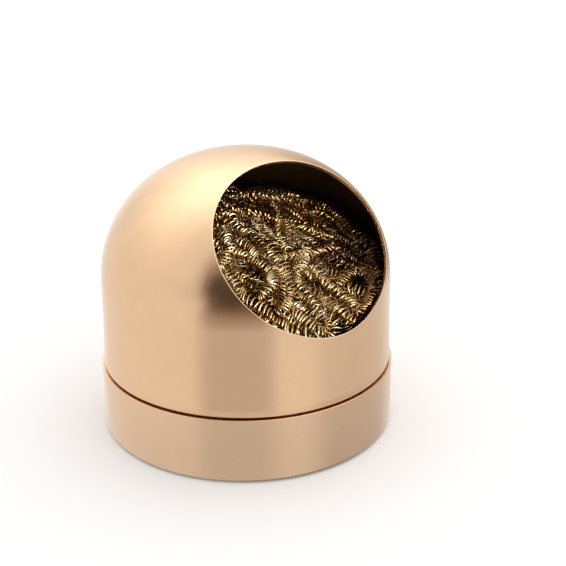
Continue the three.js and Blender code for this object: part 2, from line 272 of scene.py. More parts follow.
# =====================================================================================
# node helpers
# =====================================================================================
class Tree:
    """Short ways to add shader nodes. Values are sockets or plain numbers."""

    def __init__(self, owner):
        self.tree = owner.node_tree

    def new(self, kind, **props):
        node = self.tree.nodes.new(kind)
        for key, value in props.items():
            setattr(node, key, value)
        return node

    def put(self, socket, value):
        if isinstance(value, bpy.types.NodeSocket):
            self.tree.links.new(value, socket)
        else:
            socket.default_value = value

    def math(self, operation, first, second=0.0, clamp=False):
        node = self.new("ShaderNodeMath", operation=operation, use_clamp=clamp)
        self.put(node.inputs[0], first)
        self.put(node.inputs[1], second)
        return node.outputs[0]

    def plus(self, first, second, clamp=False):
        return self.math("ADD", first, second, clamp)

    def times(self, first, *others):
        return self.math("MULTIPLY", first, self.times(*others)) if others else first

    def invert(self, value):
        return self.math("SUBTRACT", 1.0, value)

    def ramp(self, value, span=(0.3, 0.7), to=(0.0, 1.0), kind="LINEAR"):
        """Maps a span of the value; the usual span is where noise mostly lies."""
        node = self.new("ShaderNodeMapRange", interpolation_type=kind, clamp=True)
        self.put(node.inputs["Value"], value)
        for key, number in zip(("From Min", "From Max", "To Min", "To Max"), (*span, *to)):
            node.inputs[key].default_value = number
        return node.outputs["Result"]

    def smooth(self, value, span, to=(0.0, 1.0)):
        return self.ramp(value, span, to, kind="SMOOTHSTEP")

    def falling(self, value, span):
        return self.invert(self.smooth(value, span))

    def band(self, value, rise, fall):
        """Two factors that together are 1 between the rise and the fall."""
        return self.smooth(value, rise), self.falling(value, fall)

    def noise(self, vector, scale, detail=2.0, rough=0.5):
        node = self.new("ShaderNodeTexNoise")
        node.inputs["Scale"].default_value = scale
        node.inputs["Detail"].default_value = detail
        node.inputs["Roughness"].default_value = rough
        self.put(node.inputs["Vector"], vector)
        return node.outputs["Fac"]

    def stretched(self, vector, scale):
        node = self.new("ShaderNodeMapping")
        node.inputs["Scale"].default_value = scale
        self.put(node.inputs["Vector"], vector)
        return node.outputs["Vector"]

    def split(self, vector):
        node = self.new("ShaderNodeSeparateXYZ")
        self.put(node.inputs[0], vector)
        return node.outputs

    def attribute(self, name):
        node = self.new("ShaderNodeAttribute", attribute_type="GEOMETRY", attribute_name=name)
        return node.outputs["Fac"]

    def mix(self, factor, first, second):
        """Mixes two colours, each a socket or an (r, g, b) tuple."""
        node = self.new("ShaderNodeMix", data_type="RGBA", clamp_factor=True)
        self.put(node.inputs[0], factor)
        for i, colour in ((6, first), (7, second)):
            self.put(node.inputs[i], (*colour, 1.0) if isinstance(colour, tuple) else colour)
        return node.outputs[2]

    def bump(self, height, strength, distance, normal=None):
        node = self.new("ShaderNodeBump")
        node.inputs["Strength"].default_value = strength
        node.inputs["Distance"].default_value = distance
        self.put(node.inputs["Height"], height)
        if normal is not None:
            self.put(node.inputs["Normal"], normal)
        return node.outputs["Normal"]


def material(name):
    """A new material, its tree, its Principled BSDF's inputs and object coordinates."""
    made = bpy.data.materials.new(name)
    made.use_nodes = True
    tree = Tree(made)
    nodes = made.node_tree.nodes
    surface = next(node for node in nodes if node.type == "BSDF_PRINCIPLED").inputs
    return made, tree, surface, tree.new("ShaderNodeTexCoord").outputs["Object"]


def scaled(colour, factor, plus=0.0):
    return tuple(channel * factor + plus for channel in colour)


# =====================================================================================
# materials: noise scales are per metre, bump distances in metres
# =====================================================================================
def anodised(name, colour, rough, edge):
    """Fine-blasted, gold-anodised aluminium. edge is the colour of the worn edges."""
    made, tree, surface, coord = material(name)
    mottle = tree.noise(coord, scale=260.0, detail=3.0, rough=0.55)
    cloud = tree.noise(coord, scale=45.0)
    grain = tree.noise(coord, scale=5200.0, rough=0.6)
    # uneven dye, in equal parts of both noises, then the dark grain
    tone = tree.plus(tree.times(mottle, 0.5), tree.times(cloud, 0.5))
    dye = tree.ramp(tone, span=(0.35, 0.65))
    base = tree.mix(dye, scaled(colour, 0.965), scaled(colour, 1.03))
    base = tree.mix(tree.ramp(grain, to=(0.0, 0.10)), base, scaled(colour, 0.72))
    # bright edges, broken up by a noise
    wear = tree.attribute("wear")
    chew = tree.noise(coord, scale=900.0, detail=3.0, rough=0.6)
    patchy = tree.ramp(chew, span=(0.25, 0.6), to=(0.55, 1.0))
    worn = tree.math("MULTIPLY", wear, patchy, clamp=True)
    base = tree.mix(worn, base, edge)
    # dirt in the seam, and painted shade for the dark shadow gap between dome and base
    grime = tree.times(tree.attribute("grime"), tree.ramp(cloud, to=(0.5, 0.7)))
    base = tree.mix(grime, base, (0.44, 0.23, 0.09))
    tree.put(surface["Base Color"], base)
    tree.put(surface["Metallic"], 1.0)
    # the worn edges are smoother
    roughness = tree.plus(
        tree.ramp(mottle, to=(rough - 0.02, rough + 0.025)),
        tree.ramp(grain, to=(-0.01, 0.03)),
    )
    polish = tree.times(worn, 0.06)
    tree.put(surface["Roughness"], tree.math("SUBTRACT", roughness, polish, clamp=True))
    normal = tree.bump(grain, strength=0.10, distance=0.00006)
    dimples = tree.noise(coord, scale=1500.0)
    normal = tree.bump(dimples, strength=0.05, distance=0.0001, normal=normal)
    tree.put(surface["Normal"], normal)
    return made


def dark_inside(name):
    """The inside of the dome: dull, with near-black colours that paint the shade inside it,
    and turning marks.
    """
    made, tree, surface, coord = material(name)
    inside_mottle = tree.noise(coord, scale=70.0, detail=4.0, rough=0.6)
    fine = tree.noise(coord, scale=900.0, detail=3.0, rough=0.6)
    # stretched sideways, the noise becomes rings round Z
    rings = tree.noise(tree.stretched(coord, scale=(0.02, 0.02, 1.0)), scale=3000.0)
    # painted shade: the base colours are near black for the shade inside the dome
    haze = tree.ramp(inside_mottle, span=(0.3, 0.75))
    base = tree.mix(haze, (0.040, 0.024, 0.014), (0.085, 0.050, 0.030))
    specks = tree.ramp(fine, span=(0.4, 0.7), to=(0.0, 0.35))
    base = tree.mix(specks, base, (0.02, 0.012, 0.008))
    base = tree.mix(tree.attribute("wear"), base, (0.62, 0.34, 0.19))
    tree.put(surface["Base Color"], base)
    tree.put(surface["Metallic"], 0.85)
    tree.put(surface["Roughness"], tree.ramp(inside_mottle, to=(0.42, 0.58)))
    normal = tree.bump(rings, strength=0.25, distance=0.00008)
    normal = tree.bump(fine, strength=0.2, distance=0.0001, normal=normal)
    tree.put(surface["Normal"], normal)
    return made


def machined(name, colour, rough, pitch):
    """Turned aluminium with the tool's fine concentric marks, pitch in millimetres."""
    made, tree, surface, coord = material(name)
    x, y, z = tree.split(coord)
    radius = tree.math("SQRT", tree.plus(tree.times(x, x), tree.times(y, y)))
    # one height field for the marks on flats and walls alike
    along = tree.plus(radius, z)
    marks = tree.math("SINE", tree.times(along, TURN / (pitch * MM)))
    mottle = tree.noise(coord, scale=300.0, detail=3.0, rough=0.6)
    stain = tree.noise(coord, scale=90.0, detail=4.0, rough=0.6)
    base = tree.mix(tree.ramp(mottle), scaled(colour, 0.93), colour)
    stained = tree.ramp(stain, span=(0.55, 0.75), to=(0.0, 0.4))
    base = tree.mix(stained, base, scaled(colour, 0.45))
    worn = tree.times(tree.attribute("wear"), 0.7)
    base = tree.mix(worn, base, (0.93, 0.80, 0.70))
    tree.put(surface["Base Color"], base)
    tree.put(surface["Metallic"], 1.0)
    tree.put(surface["Roughness"], tree.ramp(mottle, to=(rough - 0.03, rough + 0.05)))
    normal = tree.bump(mottle, strength=0.05, distance=0.0001)
    normal = tree.bump(marks, strength=0.05, distance=0.00003, normal=normal)
    tree.put(surface["Normal"], normal)
    return made


def rubber(name, colour, rough):
    """Dark rubber with paler dust and fine pores."""
    made, tree, surface, coord = material(name)
    dust = tree.noise(coord, scale=160.0, detail=4.0, rough=0.65)
    pore = tree.noise(coord, scale=2200.0, detail=3.0, rough=0.6)
    dusty = tree.ramp(dust, span=(0.45, 0.75))
    base = tree.mix(dusty, colour, scaled(colour, 1.9, plus=0.01))
    pores = tree.ramp(pore, span=(0.3, 0.6), to=(0.35, 0.0))
    base = tree.mix(pores, base, scaled(colour, 0.4))
    tree.put(surface["Base Color"], base)
    tree.put(surface["Roughness"], tree.ramp(dust, to=(rough - 0.07, rough + 0.1)))
    tree.put(surface["Specular IOR Level"], 0.35)
    tree.put(surface["Normal"], tree.bump(pore, strength=0.35, distance=0.00012))
    return made


def steel(name, colour, rough):
    """Blotchy steel with a few rusty spots and fine scratches along Y."""
    made, tree, surface, coord = material(name)
    blotch = tree.noise(coord, scale=120.0, detail=4.0, rough=0.6)
    scratch = tree.noise(tree.stretched(coord, scale=(1.0, 0.04, 1.0)), scale=2500.0)
    base = tree.mix(tree.ramp(blotch), scaled(colour, 0.8), colour)
    rust = tree.ramp(blotch, span=(0.66, 0.8), to=(0.0, 0.5))
    base = tree.mix(rust, base, (0.20, 0.11, 0.06))
    tree.put(surface["Base Color"], base)
    tree.put(surface["Metallic"], 1.0)
    tree.put(surface["Roughness"], tree.ramp(scratch, to=(rough - 0.05, rough + 0.08)))
    tree.put(surface["Normal"], tree.bump(scratch, strength=0.2, distance=0.00006))
    return made


def brass(name):
    """Brass turnings: yellow where cut fresh, red-brown where heat has coloured them and where
    painted shade lowers the tone; a painted highlight and painted shade are mixed in too.
    """
    made, tree, surface, coord = material(name)
    tone = tree.attribute("tone")
    broad = tree.noise(coord, scale=95.0, detail=3.0, rough=0.6)
    fine = tree.noise(coord, scale=2400.0, rough=0.6)
    # from red-brown through yellow to pale
    shade = tree.plus(tree.times(tone, 0.6), tree.times(broad, 0.4))
    low = tree.ramp(shade, span=(0.18, 0.46))
    base = tree.mix(low, (0.24, 0.090, 0.018), (0.55, 0.31, 0.060))
    base = tree.mix(tree.ramp(shade, span=(0.44, 0.68)), base, (0.76, 0.59, 0.32))
    specks = tree.ramp(fine, span=(0.62, 0.8), to=(0.0, 0.5))
    base = tree.mix(specks, base, (0.30, 0.15, 0.05))
    # painted highlight: a paler colour on faces turned halfway between the camera and the
    # wool's softbox
    facing = tree.new("ShaderNodeVectorMath", operation="DOT_PRODUCT")
    tree.put(facing.inputs[0], tree.new("ShaderNodeTexCoord").outputs["Normal"])
    facing.inputs[1].default_value = (-0.17, -0.84, 0.51)
    painted_highlight = tree.smooth(facing.outputs["Value"], span=(0.84, 0.99), to=(0.0, 0.26))
    base = tree.mix(painted_highlight, base, (0.80, 0.70, 0.50))
    # painted shade: darker brown where the wool should lie in shade
    base = tree.mix(tree.attribute("soot"), base, (0.10, 0.050, 0.014))
    tree.put(surface["Base Color"], base)
    tree.put(surface["Metallic"], 1.0)
    tree.put(surface["Roughness"], tree.ramp(fine, to=(0.20, 0.33)))
    grit = tree.noise(coord, scale=5000.0)
    tree.put(surface["Normal"], tree.bump(grit, strength=0.2, distance=0.00004))
    # a thin film of flux
    tree.put(surface["Coat Weight"], 0.35)
    tree.put(surface["Coat Roughness"], 0.2)
    return made


DOME_OUT = anodised(
    "dome_anodised", colour=(0.88, 0.59, 0.365), rough=0.20, edge=(0.95, 0.72, 0.55)
)
DOME_IN = dark_inside("dome_inside")
BASE_OUT = anodised(
    "base_anodised", colour=(0.86, 0.59, 0.39), rough=0.24, edge=(0.93, 0.70, 0.53)
)
BASE_IN = machined("base_machined", colour=(0.80, 0.58, 0.40), rough=0.26, pitch=0.22)
RUBBER_PAD = rubber("pad_rubber", colour=(0.035, 0.034, 0.033), rough=0.72)
RUBBER_RING = rubber("ring_rubber", colour=(0.014, 0.014, 0.015), rough=0.5)
STEEL_DISC = steel("ballast_steel", colour=(0.50, 0.50, 0.50), rough=0.36)
STEEL_SCREW = steel("screw_steel", colour=(0.20, 0.20, 0.21), rough=0.30)
BRASS = brass("brass_turnings")
WIRE = steel("fine_wire", colour=(0.44, 0.37, 0.26), rough=0.36)


# =====================================================================================
# dome: one closed grid of rows, whose columns fan out from a leaning axis through the mouth
# =====================================================================================
DOME_COLS, ROWS_OUT, ROWS_IN = 360, 118, 64
DOME_CENTRE = np.array([0.0, 0.0, 30.0])
DOME_LEAN = math.radians(40)
DOME_AXIS = np.array([0.0, -math.sin(DOME_LEAN), math.cos(DOME_LEAN)])
SIDE_X = np.array([1.0, 0.0, 0.0])
SIDE_UP = np.cross(DOME_AXIS, SIDE_X)
DOME_TURNS = around(DOME_COLS)
FAN_END_Z = 18.0                    # below this the rows are level rings
EDGE_OUT, EDGE_IN = 0.34, 0.16      # rounding of the mouth's outer and inner edges
LIP = 0.45                          # radius of the foot's rolled edge


def hit(theta, radius_of, turn=DOME_TURNS):
    """Where rays from the centre, theta off the leaning axis, meet the wall."""
    side = np.cos(turn)[..., None] * SIDE_X + np.sin(turn)[..., None] * SIDE_UP
    ray = np.cos(theta)[..., None] * DOME_AXIS + np.sin(theta)[..., None] * side

    def inside(reach):
        point = DOME_CENTRE + reach[..., None] * ray
        return axis_distance(point) <= radius_of(point[..., 2])

    nearest, farthest = np.full(theta.shape, 4.0), np.full(theta.shape, 62.0)
    reach = bisect(inside, nearest, farthest, steps=46)
    return DOME_CENTRE + reach[..., None] * ray


def ray_angles(points):
    """The theta and turn of the rays through one row of points."""
    ray = points - DOME_CENTRE
    cosine = (ray @ DOME_AXIS) / np.linalg.norm(ray, axis=-1)
    turn = np.arctan2(ray @ SIDE_UP, ray @ SIDE_X)
    turn = DOME_TURNS + (turn - DOME_TURNS + math.pi) % TURN - math.pi
    return np.arccos(np.clip(cosine, -1, 1)), turn


def foot_theta(radius_of, start):
    end = np.full(DOME_COLS, math.radians(178))
    return bisect(lambda theta: hit(theta, radius_of)[:, 2] > FAN_END_Z, start, end)


def make_dome():
    # the mouth's outline lies in a plane, and the wall is cut through at right angles to it
    zero = np.zeros(DOME_COLS)
    theta_rim = bisect(
        lambda theta: ((hit(theta, outer_r) - MOUTH_POINT) @ MOUTH_NORMAL) > 0,
        zero, np.full(DOME_COLS, math.radians(125)),
    )
    corner_out = hit(theta_rim, outer_r)

    def sunk(depth):
        return corner_out - depth[:, None] * MOUTH_NORMAL

    depth = bisect(
        lambda depth: axis_distance(sunk(depth)) > inner_r(sunk(depth)[:, 2]),
        zero, np.full(DOME_COLS, 5.0),
    )
    corner_in = sunk(depth)

    # outer wall, from the rounded edge down; its rows are closer near both ends
    start = theta_rim + EDGE_OUT / np.linalg.norm(corner_out - DOME_CENTRE, axis=1)
    end = foot_theta(outer_r, start)
    share = np.linspace(0, 1, ROWS_OUT)
    share = (share - 0.10 * np.sin(TURN * share) / TURN)[:, None]
    wall_out = hit(start + share * (end - start), outer_r)
    # inner wall, whose columns drift back to the even turns
    start, turn = ray_angles(corner_in)
    start = start + EDGE_IN / np.linalg.norm(corner_in - DOME_CENTRE, axis=1)
    end = foot_theta(inner_r, start)
    share = np.linspace(0, 1, ROWS_IN)[:, None]
    turns = turn + share * (DOME_TURNS - turn)
    wall_in = hit(start + share * (end - start), inner_r, turns)

    face_out = corner_out - EDGE_OUT * MOUTH_NORMAL
    face_in = corner_in + EDGE_IN * MOUTH_NORMAL
    edge_out = bezier(wall_out[0], corner_out, face_out, 8)
    face = face_out + (face_in - face_out) * np.array([0.12, 0.5, 0.88])[:, None, None]
    edge_in = bezier(face_in, corner_in, wall_in[0], 6)

    angle = np.arctan2(wall_out[-1][:, 1], wall_out[-1][:, 0])

    def ring(radius, z):
        level = np.full(DOME_COLS, z)
        return np.stack([radius * np.cos(angle), radius * np.sin(angle), level], -1)

    rows = []

    def put(row, wear, slot, grime=0.0):
        rows.append((row, wear, slot, grime))

    # bore of the foot
    bore = SKIRT_R - WALL
    for z in (SKIRT_Z - 0.05, 16.8, FOOT_Z + 0.07):
        put(ring(bore, z), 0.2, 1)
    put(ring(bore + 0.06, FOOT_Z), 0.3, 1)
    # its rolled edge, darker at the bottom with seam dirt and painted shade
    put(ring(SKIRT_R - LIP - 0.06, FOOT_Z), 0.0, 0, 1.0)
    for i in range(11):
        roll = i / 10 * math.pi / 2
        z = FOOT_Z + LIP * (1 - math.cos(roll))
        put(ring(SKIRT_R - LIP + LIP * math.sin(roll), z), 0.0, 0, climb(-z, -16.2, 0.2))
    # up the outside, over the rim and down the inside
    for z in (FOOT_Z + LIP + 0.12, 17.1, SKIRT_Z):
        put(ring(SKIRT_R, z), 0.0, 0)
    for row in wall_out[:0:-1]:
        put(row, 0.0, 0)
    rim_wear = [0.0, 0.3, 0.7, 1, 1, 1, 0.9, 0.7]
    rim_wear += [0.45, 0.35, 0.45]
    rim_wear += [0.6, 0.8, 0.9, 0.8, 0.5, 0.3]
    for row, wear in zip((*edge_out, *face, *edge_in), rim_wear):
        put(row, wear, 0)
    for i, row in enumerate(wall_in[1:]):
        put(row, max(0.0, 0.2 - 0.1 * i), 1)

    places, wear, kind, grime = zip(*rows)
    quads = grid_quads(len(rows), DOME_COLS, closed_rows=True)
    kind = np.array(kind)
    slots = np.maximum(kind[quads[:, 0] // DOME_COLS], kind[quads[:, 2] // DOME_COLS])
    masks = {"wear": np.repeat(wear, DOME_COLS), "grime": np.repeat(grime, DOME_COLS)}
    piece = build(
        "dome", np.vstack(places), quads, [DOME_OUT, DOME_IN], slots=slots, attributes=masks
    )
    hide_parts("dome_shell")
    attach(piece, "dome")


make_dome()


# =====================================================================================
# base, pad, ring
# =====================================================================================
def make_base():
    groove_low, groove_high = GROOVE_Z - GROOVE_HALF, GROOVE_Z + GROOVE_HALF
    # r, z, fillet
    outline = [
        (0, RECESS_Z),
        (RECESS_R, RECESS_Z, 0.2), (RECESS_R, SEAT_Z, 0.15),
        (SEAT_R, SEAT_Z, 0.1), (SEAT_R, BASE_BOTTOM_Z, 0.1),
        (BASE_R - 0.3, BASE_BOTTOM_Z, 0.12), (BASE_R, BASE_BOTTOM_Z + 0.3, 0.12),
        (BASE_R, SHOULDER_Z - 0.045, 0.02), (BASE_R - 0.045, SHOULDER_Z, 0.02),
        (LAND_R, SHOULDER_Z, 0.1), (LAND_R, LAND_Z, 0.05),
        (SPIGOT_R, LAND_Z, 0.05), (SPIGOT_R, groove_low, 0.1),
        (GROOVE_R, groove_low, 0.2), (GROOVE_R, groove_high, 0.2),
        (SPIGOT_R, groove_high, 0.1), (SPIGOT_R, SPIGOT_TOP - 0.6, 0.2),
        (SPIGOT_R - 0.6, SPIGOT_TOP, 0.2), (CUP_R + 0.4, SPIGOT_TOP, 0.15),
        (CUP_R, SPIGOT_TOP - 0.4, 0.15), (CUP_R, CUP_FLOOR, 0.8),
        (0, CUP_FLOOR),
    ]
    profile, wear = subdivide(*rounded(outline, steps=5), longest=2.5)
    # the shoulder's edge is the same colour as the wall
    wear = [0.0 if r > 33.5 and z > 15.0 else worn for (r, z), worn in zip(profile, wear)]

    def slot_of(radius, z):
        """0 on the anodised wall, shoulder and land, 1 elsewhere."""
        return 0 if radius > 33.9 or (radius > 33.1 and 15.0 < z < 16.5) else 1

    piece = turned("base", profile, wear, 256, [BASE_OUT, BASE_IN], slot_of)
    # dirt and painted shade in the seam round the land
    places = np.zeros(len(piece.data.vertices) * 3)
    piece.data.vertices.foreach_get("co", places)
    places = places.reshape(-1, 3) / MM
    in_seam = (places[:, 2] > 15.6) & (places[:, 2] < 16.3)
    grime = np.where(in_seam, climb(-axis_distance(places), -34.1, 0.3), 0.0)
    add_attribute(piece.data, "grime", grime)
    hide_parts("base_cup")
    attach(piece, "base")


def make_pad():
    # the underside has shallow ring grooves between flats
    depth, fillet = 0.22, 0.12
    outline = [(0, 0)]
    for radius in range(4, 31, 3):
        outline += [
            (radius, 0, fillet), (radius + 0.35, depth, fillet),
            (radius + 0.95, depth, fillet), (radius + 1.3, 0, fillet),
        ]
    outline += [(PAD_R, 0, 0.45), (PAD_R, PAD_TOP, 0.15), (0, PAD_TOP)]
    profile, wear = subdivide(*rounded(outline, steps=4), longest=3.0)
    piece = turned("pad", profile, wear, 192, [RUBBER_PAD])
    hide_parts("foot_pad")
    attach(piece, "base")


def make_ring():
    segments, sides = 256, 20
    angle = around(sides)
    # a moulding flash line round the outside
    from_line = np.minimum(angle, TURN - angle)
    section = RING_SECTION_R + 0.012 * np.exp(-(from_line / 0.1) ** 2)
    verts = revolve(
        RING_R + section * np.cos(angle), GROOVE_Z + section * np.sin(angle), segments
    )
    quads = grid_quads(sides, segments, closed_rows=True)
    piece = build("grip_o_ring", verts, quads, [RUBBER_RING])
    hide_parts("grip_ring")
    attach(piece, "grip_ring")


make_base()
make_pad()
make_ring()

# the CAD's own disc and screws get new finishes
FINISHES = [("ballast_disc", STEEL_DISC)]
FINISHES += [(f"ballast_screw_{i}", STEEL_SCREW) for i in (1, 2, 3)]
for node, finish in FINISHES:
    carried = frame["nodes"][node].data.materials
    carried.clear()
    carried.append(finish)


# =====================================================================================
# centre lines of the brass wool's layers
# =====================================================================================
CURL_R = 2.0
CURL_STEP = 5.6     # distance between points along a row
ROW_WAVE = 1.1      # how far a row sways sideways
NO_LIMIT = -99.0


def top_layer(x, y):
    """Height of the top layer's centre lines: lowest at the front, domed in the middle."""
    return 32.0 + 0.25 * (y + 28) + 2.2 * (1 - (x * x + y * y) / 900) + 0.03 * x


def clear_radius(z):
    """How far from the axis a curl's centre may lie at a height."""
    limit = CUP_R - CURL_R - 0.4 if z - CURL_R < SPIGOT_TOP + 0.5 else 99.0
    reach = CURL_R + 0.55
    heights = np.arange(z - 3, z + 3.001, 0.25)
    heights = heights[np.abs(heights - z) <= reach]
    inside = outer_r(heights) - WALL
    return min(limit, float(np.min(inside - np.sqrt(reach * reach - (heights - z) ** 2))))


def wound(along, first, count, pitch, depth, start, phase):
    """Rows laid back and forth along x or y, joined by half turns, below the top layer."""
    rows = [first + i * pitch for i in range(count)]
    points = []

    def place(length, across):
        x, y = (across, length) if along == "y" else (length, across)
        return x, y, top_layer(x, y) - depth

    def reach(row, neighbour, sign):
        """How far the row can run in one direction before it meets the wall."""
        across = max(abs(row), abs(neighbour)) + ROW_WAVE
        best, length = 0.0, 0.0
        while length < 33:
            x, y, z = place(sign * length, across)
            if math.hypot(x, y) > clear_radius(z):
                break
            best = sign * length
            length += 0.25
        return best

    def sway(length):
        return ROW_WAVE * math.sin(0.17 * length + phase)

    for i, row in enumerate(rows):
        forward = i % 2 == 0
        before = rows[i - 1] if i > 0 else row
        after = rows[i + 1] if i < count - 1 else row
        # the rows joined at this row's low and high ends
        low_row, high_row = (before, after) if forward else (after, before)
        low = max(reach(row, low_row, -1), start) + abs(row - low_row) / 2
        high = reach(row, high_row, 1) - abs(row - high_row) / 2
        pieces = max(2, int(math.floor((high - low) / CURL_STEP + 0.5)))
        line = [low + (high - low) * j / pieces for j in range(pieces + 1)]
        if not forward:
            line.reverse()
        points += [place(length, row + sway(length)) for length in line]
        if i < count - 1:
            end = line[-1]
            way = 1 if forward else -1
            middle = (row + after) / 2 + sway(end)
            radius = (after - row) / 2
            for degrees in (36, 72, 108, 144):
                angle = math.radians(degrees)
                length = end + way * radius * math.sin(angle)
                points.append(place(length, middle - radius * math.cos(angle)))
    return np.array(points)


def coil(level, slope, angle):
    """A flat spiral inwards, at this level at y = -28 and rising towards +Y."""
    outermost, innermost, pitch = 28.2, 4, 6.0
    points, radius = [], outermost
    while radius > innermost:
        x, y = radius * math.cos(angle), radius * math.sin(angle)
        points.append((x, y, level + slope * (y + 28)))
        step = min(0.62, 6.6 / radius)
        angle += step
        radius -= pitch * step / TURN
    return np.array(points)


# kind, rows run along, first row, row count, pitch, depth below the top, start limit, phase
WOUND_ROWS = [
    ("top", "y", -25, 3, 5.0, 0.0, NO_LIMIT, 0.4),
    ("top", "y", -10, 3, 5.0, 0.0, NO_LIMIT, 0.4),
    ("top", "y", 5, 2, 5.0, 0.0, NO_LIMIT, 0.4),
    ("top", "y", 15, 3, 5.0, 0.0, NO_LIMIT, 0.4),
    ("second", "x", -24, 3, 5.3, 4.6, NO_LIMIT, 1.2),
    ("second", "x", -8.1, 4, 5.3, 4.6, NO_LIMIT, 1.2),
    ("second", "x", 13.1, 3, 5.3, 4.6, NO_LIMIT, 1.2),
    ("third", "y", -21.6, 4, 5.4, 9.2, -12, 2.3),
    ("third", "y", 0, 5, 5.4, 9.2, -12, 2.3),
    ("third", "x", 15.4, 3, 5.3, 13.6, NO_LIMIT, 0.7),
]
LAYERS = [(wound(*entry), kind) for kind, *entry in WOUND_ROWS]
LAYERS += [
    (coil(level=21.5, slope=0.075, angle=2.1), "cup"),
    (coil(level=16.2, slope=0.0, angle=5.0), "cup"),
]


# =====================================================================================
# curls: helices of flat ribbon wound along the centre lines
# =====================================================================================
RIBBON_THICK = 0.11


def smooth_noise(rng, length, spacing, count):
    """Smooth random values, roughly -1 to 1, along a length, sampled at count points."""
    knots = max(4, int(length / spacing) + 4)
    value = rng.uniform(-1, 1, knots)
    place = np.linspace(0, knots - 3.001, count)
    i = np.floor(place).astype(int)
    t = place - i
    # cubic B-spline, scaled back up
    return 1.35 * (
        (1 - t) ** 3 * value[i]
        + (3 * t**3 - 6 * t**2 + 4) * value[i + 1]
        + (-3 * t**3 + 3 * t**2 + 3 * t + 1) * value[i + 2]
        + t**3 * value[i + 3]
    ) / 6


def dense(points):
    """Centripetal Catmull-Rom through the points, resampled evenly, with its arc length."""
    step = 0.5
    points = np.vstack([2 * points[0] - points[1], points, 2 * points[-1] - points[-2]])
    out = []
    for i in range(1, len(points) - 2):
        four = points[i - 1:i + 3]
        knots = [0.0]
        for start, end in zip(four, four[1:]):
            knots.append(knots[-1] + max(1e-6, np.linalg.norm(end - start)) ** 0.5)
        t = np.linspace(knots[1], knots[2], 13)[:-1, None]

        def between(start, end, first, last):
            low, high = knots[first], knots[last]
            return (high - t) / (high - low) * start + (t - low) / (high - low) * end

        edges = [between(four[j], four[j + 1], j, j + 1) for j in range(3)]
        inner = [between(edges[j], edges[j + 1], j, j + 2) for j in range(2)]
        out.append(between(inner[0], inner[1], 1, 2))
    out = np.vstack(out + [points[-2][None]])
    steps = np.linalg.norm(np.diff(out, axis=0), axis=1)
    run = np.concatenate([[0], np.cumsum(steps)])
    arc = np.linspace(0, run[-1], max(4, int(run[-1] / step)))
    return np.stack([np.interp(arc, run, out[:, i]) for i in range(3)], -1), arc


def frames(line):
    """Tangents and a pair of normals that turn as little as possible along a line."""
    tangent = unit(np.gradient(line, axis=0))
    normal = np.zeros_like(tangent)
    normal[0] = square_to(np.array([0.0, 0.0, 1.0]), tangent[0])
    for i in range(1, len(tangent)):
        normal[i] = square_to(normal[i - 1], tangent[i])
    return tangent, normal, np.cross(tangent, normal)


def pull_in(points, limit, where):
    """Moves the points that lie beyond the limit straight towards the axis."""
    rho = axis_distance(points)
    factor = np.where((rho > limit) & where, limit / np.maximum(rho, 1e-6), 1.0)
    points[:, :2] *= factor[:, None]


def hold(points):
    """Keeps points inside the cup and the dome, under the mouth's plane."""
    points = points.copy()
    rho, z = axis_distance(points), points[:, 2]
    out = (z < SPIGOT_TOP + 0.35) & (rho > CUP_R - 0.15)
    # over the spigot's top if that is nearer, else back inside the cup
    lift = out & ((SPIGOT_TOP + 0.36 - z) < (rho - CUP_R + 0.15))
    points[lift, 2] = SPIGOT_TOP + 0.37
    pull_in(points, CUP_R - 0.15, where=out & ~lift)
    pull_in(points, inner_r(points[:, 2]) - 0.18, where=True)
    points[:, 2] = np.maximum(points[:, 2], CUP_FLOOR + 0.06)
    over = (points - MOUTH_POINT) @ MOUTH_NORMAL + 0.5
    points -= np.where(over > 0, over, 0)[:, None] * MOUTH_NORMAL
    return points


def ribbon(points, radial, width, twist):
    """Corner points of a flat ribbon along a line: (n, 4, 3)."""
    tangent = unit(np.gradient(points, axis=0))
    out = square_to(radial, tangent)
    side = np.cross(tangent, out)
    cosine, sine = np.cos(twist)[:, None], np.sin(twist)[:, None]
    out, side = out * cosine + side * sine, side * cosine - out * sine
    side = side * (width / 2)[:, None]
    out = out * (RIBBON_THICK / 2)
    corners = [points - side - out, points + side - out, points + side + out]
    return np.stack(corners + [points - side + out], 1)


